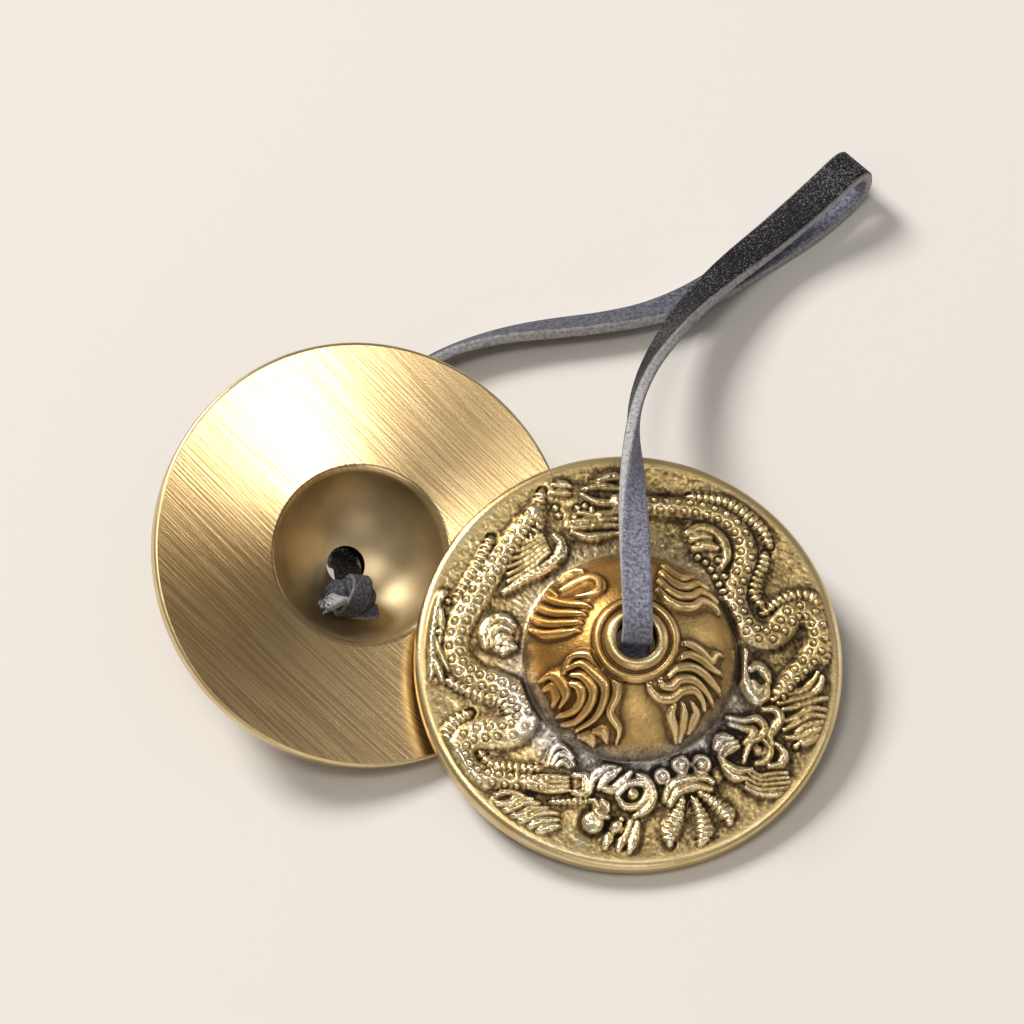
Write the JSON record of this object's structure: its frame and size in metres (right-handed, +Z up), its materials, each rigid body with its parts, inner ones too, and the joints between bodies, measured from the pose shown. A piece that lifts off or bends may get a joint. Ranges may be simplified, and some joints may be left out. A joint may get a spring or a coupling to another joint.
{
  "type": "tingsha hand cymbals",
  "caption": "Small cast hand cymbals with a domed boss, joined by a knotted leather strap doubled into a hand loop; struck rim to rim, each turns and swings on the strap",
  "frame": {"origin": "on the floor below the middle of the two cymbals' box", "axes": "+X from the left cymbal to the right one, +Y towards the strap's loop, +Z up from the floor they lie on"},
  "size_m": [0.1116, 0.1247, 0.0297],
  "materials": {
    "cymbal": "cast, brushed inside, dark in the hollows",
    "strap": "black grain on one side, blue-grey suede on the other"
  },
  "bodies": {
    "strap_left": {"strap_left": "strap"},
    "strap_right": {"strap_right": "strap"},
    "right_knot": {"right_knot": "strap"},
    "right_cymbal": {"right_cymbal": "cymbal"},
    "left_knot": {"left_knot": "strap"},
    "left_cymbal": {"left_cymbal": "cymbal"}
  },
  "joints": [
    {"name": "strap_lift", "type": "hinge", "parent": "strap_left", "child": "strap_right", "pos_m": [0.03708, 0.06533, 0.00595], "axis": [-0.7193, 0.6638, -0.2047], "range_deg": [0, 60]},
    {"name": "right_twist", "type": "hinge", "parent": "strap_right", "child": "right_knot", "pos_m": [0.02055, 0.0005, 0.0271], "axis": [-0.0341, 0.9992, 0.0227], "range_deg": [0, 20]},
    {"name": "right_spin", "type": "hinge", "parent": "right_knot", "child": "right_cymbal", "pos_m": [0.0196, -0.0068, 0.0071], "axis": [0.0722, -0.2096, 0.9751], "continuous": true},
    {"name": "left_twist", "type": "hinge", "parent": "strap_left", "child": "left_knot", "pos_m": [-0.02285, 0.02135, 0.0017], "axis": [0.1807, 0.9835, 0], "range_deg": [0, 15]},
    {"name": "left_spin", "type": "hinge", "parent": "left_knot", "child": "left_cymbal", "pos_m": [-0.0202, 0.0076, 0.01629], "axis": [-0.2518, 0.3341, -0.9083], "continuous": true}
  ]
}
